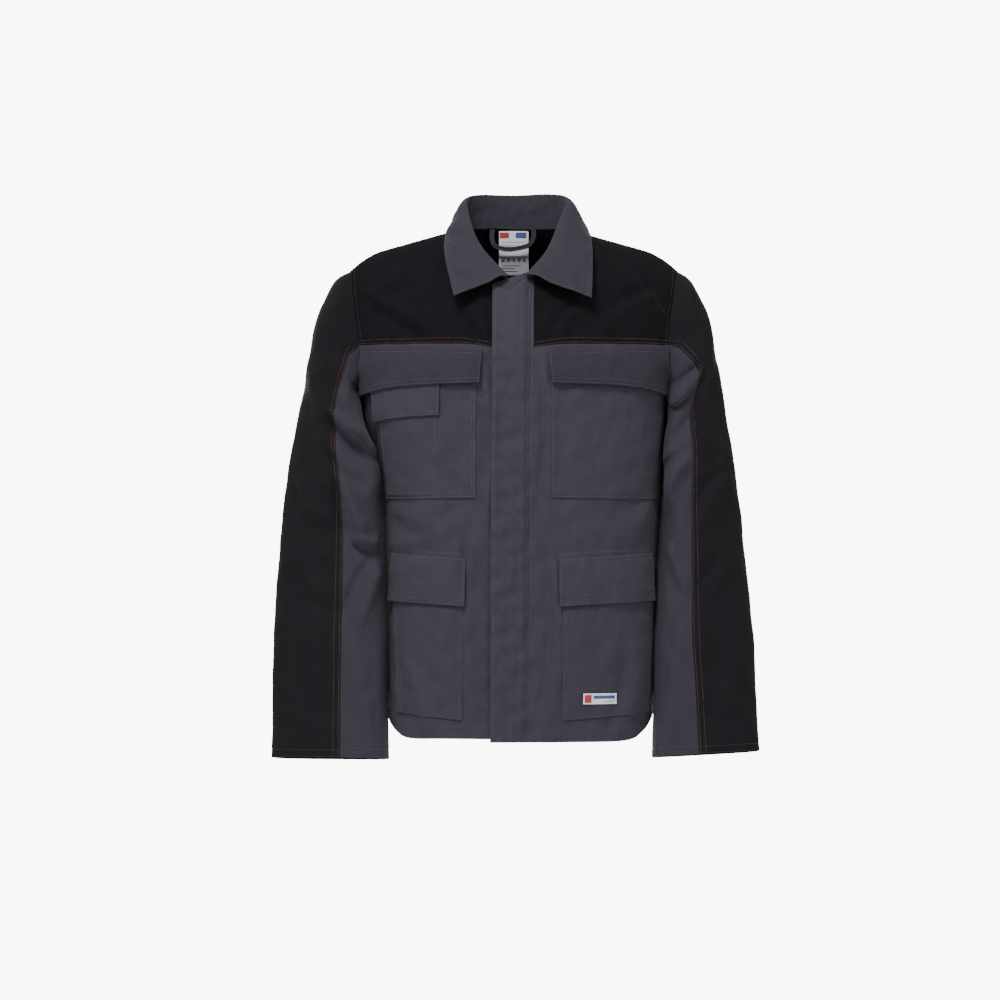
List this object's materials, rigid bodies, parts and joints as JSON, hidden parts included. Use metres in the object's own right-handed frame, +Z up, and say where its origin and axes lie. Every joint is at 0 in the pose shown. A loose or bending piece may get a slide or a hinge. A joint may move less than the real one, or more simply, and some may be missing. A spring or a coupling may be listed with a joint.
{
  "type": "welding work jacket",
  "caption": "Hip-length two-tone cotton work jacket for welding, with turn-down collar, storm flap over concealed studs, flapped chest and lower pockets and long sleeves.",
  "frame": {"origin": "centre of the neck, level with the back neck seam, where the hanger or the wearer's neck holds the jacket", "axes": "+Z up along the body, the front faces -Y, +X towards the wearer's left"},
  "size_m": [0.672, 0.2725, 0.7891],
  "materials": {
    "slate_cloth": "slate grey cotton twill, matt with a faint violet cast",
    "black_cloth": "black cotton twill, matt",
    "label_cloth": "smooth white woven label",
    "stud_steel": "dull nickel finish",
    "red_thread": "dark red double topstitching"
  },
  "bodies": {
    "jacket_body": {"back_panel": "slate_cloth", "back_yoke": "black_cloth", "front_panel_right": "slate_cloth", "front_panel_left": "slate_cloth", "front_yoke_right": "black_cloth", "front_yoke_left": "black_cloth", "collar_stand": "slate_cloth", "collar_back": "slate_cloth", "neck_label": "label_cloth", "front_studs": "stud_steel", "chest_pocket_right": "slate_cloth", "chest_pocket_left": "slate_cloth", "pen_pocket": "slate_cloth", "chest_studs_right": "stud_steel", "chest_studs_left": "stud_steel", "lower_pocket_right": "slate_cloth", "lower_pocket_left": "slate_cloth", "lower_studs_right": "stud_steel", "lower_studs_left": "stud_steel", "pocket_label": "label_cloth", "sleeve_head_right": "black_cloth", "sleeve_head_left": "black_cloth"},
    "collar_tip_right": {"collar_point_right": "slate_cloth"},
    "collar_tip_left": {"collar_point_left": "slate_cloth"},
    "storm_cover": {"storm_flap": "slate_cloth", "storm_flap_sockets": "stud_steel"},
    "chest_cover_right": {"chest_flap_right": "slate_cloth", "chest_sockets_right": "stud_steel"},
    "chest_cover_left": {"chest_flap_left": "slate_cloth", "chest_sockets_left": "stud_steel"},
    "pen_cover": {"pen_flap": "slate_cloth"},
    "lower_cover_right": {"lower_flap_right": "slate_cloth", "lower_sockets_right": "stud_steel"},
    "lower_cover_left": {"lower_flap_left": "slate_cloth", "lower_sockets_left": "stud_steel"},
    "loop": {"hanger_loop": "slate_cloth"},
    "upper_arm_right": {"upper_outer_right": "black_cloth", "upper_under_right": "slate_cloth", "elbow_right": "black_cloth"},
    "upper_arm_left": {"upper_outer_left": "black_cloth", "upper_under_left": "slate_cloth", "elbow_left": "black_cloth"},
    "forearm_right": {"forearm_outer_right": "black_cloth", "forearm_under_right": "slate_cloth"},
    "forearm_left": {"forearm_outer_left": "black_cloth", "forearm_under_left": "slate_cloth"}
  },
  "joints": [
    {"name": "chest_flap_right_lift", "type": "hinge", "parent": "jacket_body", "child": "chest_cover_right", "pos_m": [-0.13209, -0.12907, -0.17058], "axis": [-0.9384, 0.3441, 0.0317], "range_deg": [0, 130]},
    {"name": "chest_flap_left_lift", "type": "hinge", "parent": "jacket_body", "child": "chest_cover_left", "pos_m": [0.1341, -0.12841, -0.17055], "axis": [-0.9368, -0.3484, -0.0324], "range_deg": [0, 130]},
    {"name": "lower_flap_right_lift", "type": "hinge", "parent": "jacket_body", "child": "lower_cover_right", "pos_m": [-0.12637, -0.12812, -0.46341], "axis": [-0.8246, 0.5633, 0.0516], "range_deg": [0, 130]},
    {"name": "lower_flap_left_lift", "type": "hinge", "parent": "jacket_body", "child": "lower_cover_left", "pos_m": [0.13376, -0.13527, -0.46341], "axis": [-0.8724, -0.4867, -0.044], "range_deg": [0, 130]},
    {"name": "pen_flap_lift", "type": "hinge", "parent": "jacket_body", "child": "pen_cover", "pos_m": [-0.15222, -0.12567, -0.24203], "axis": [-0.8731, 0.4871, -0.0185], "range_deg": [0, 65]},
    {"name": "storm_flap_open", "type": "hinge", "parent": "jacket_body", "child": "storm_cover", "pos_m": [0.0265, -0.1478, -0.4], "axis": [0, 0, 1], "range_deg": [0, 108]},
    {"name": "collar_point_right_lift", "type": "hinge", "parent": "jacket_body", "child": "collar_tip_right", "pos_m": [-0.041, -0.0605, -0.019], "axis": [-0.3796, 0.6959, 0.6096], "range_deg": [0, 80]},
    {"name": "collar_point_left_lift", "type": "hinge", "parent": "jacket_body", "child": "collar_tip_left", "pos_m": [0.045, -0.0605, -0.019], "axis": [-0.3392, -0.7076, -0.6199], "range_deg": [0, 80]},
    {"name": "hanger_loop_swing", "type": "hinge", "parent": "jacket_body", "child": "loop", "pos_m": [0, 0.0303, -0.001], "axis": [-1, 0, 0], "range_deg": [0, 110]},
    {"name": "shoulder_right_raise", "type": "hinge", "parent": "jacket_body", "child": "upper_arm_right", "pos_m": [-0.234, 0, -0.1], "axis": [0, 1, 0], "range_deg": [0, 55], "deforming": ["sleeve_head_right"]},
    {"name": "elbow_right_bend", "type": "hinge", "parent": "upper_arm_right", "child": "forearm_right", "pos_m": [-0.2512, -0.0224, -0.41], "axis": [-1, 0, 0], "range_deg": [0, 60], "deforming": ["elbow_right"]},
    {"name": "shoulder_left_raise", "type": "hinge", "parent": "jacket_body", "child": "upper_arm_left", "pos_m": [0.234, 0, -0.1], "axis": [0, -1, 0], "range_deg": [0, 55], "deforming": ["sleeve_head_left"]},
    {"name": "elbow_left_bend", "type": "hinge", "parent": "upper_arm_left", "child": "forearm_left", "pos_m": [0.2601, -0.0174, -0.41], "axis": [-1, 0, 0], "range_deg": [0, 60], "deforming": ["elbow_left"]}
  ]
}
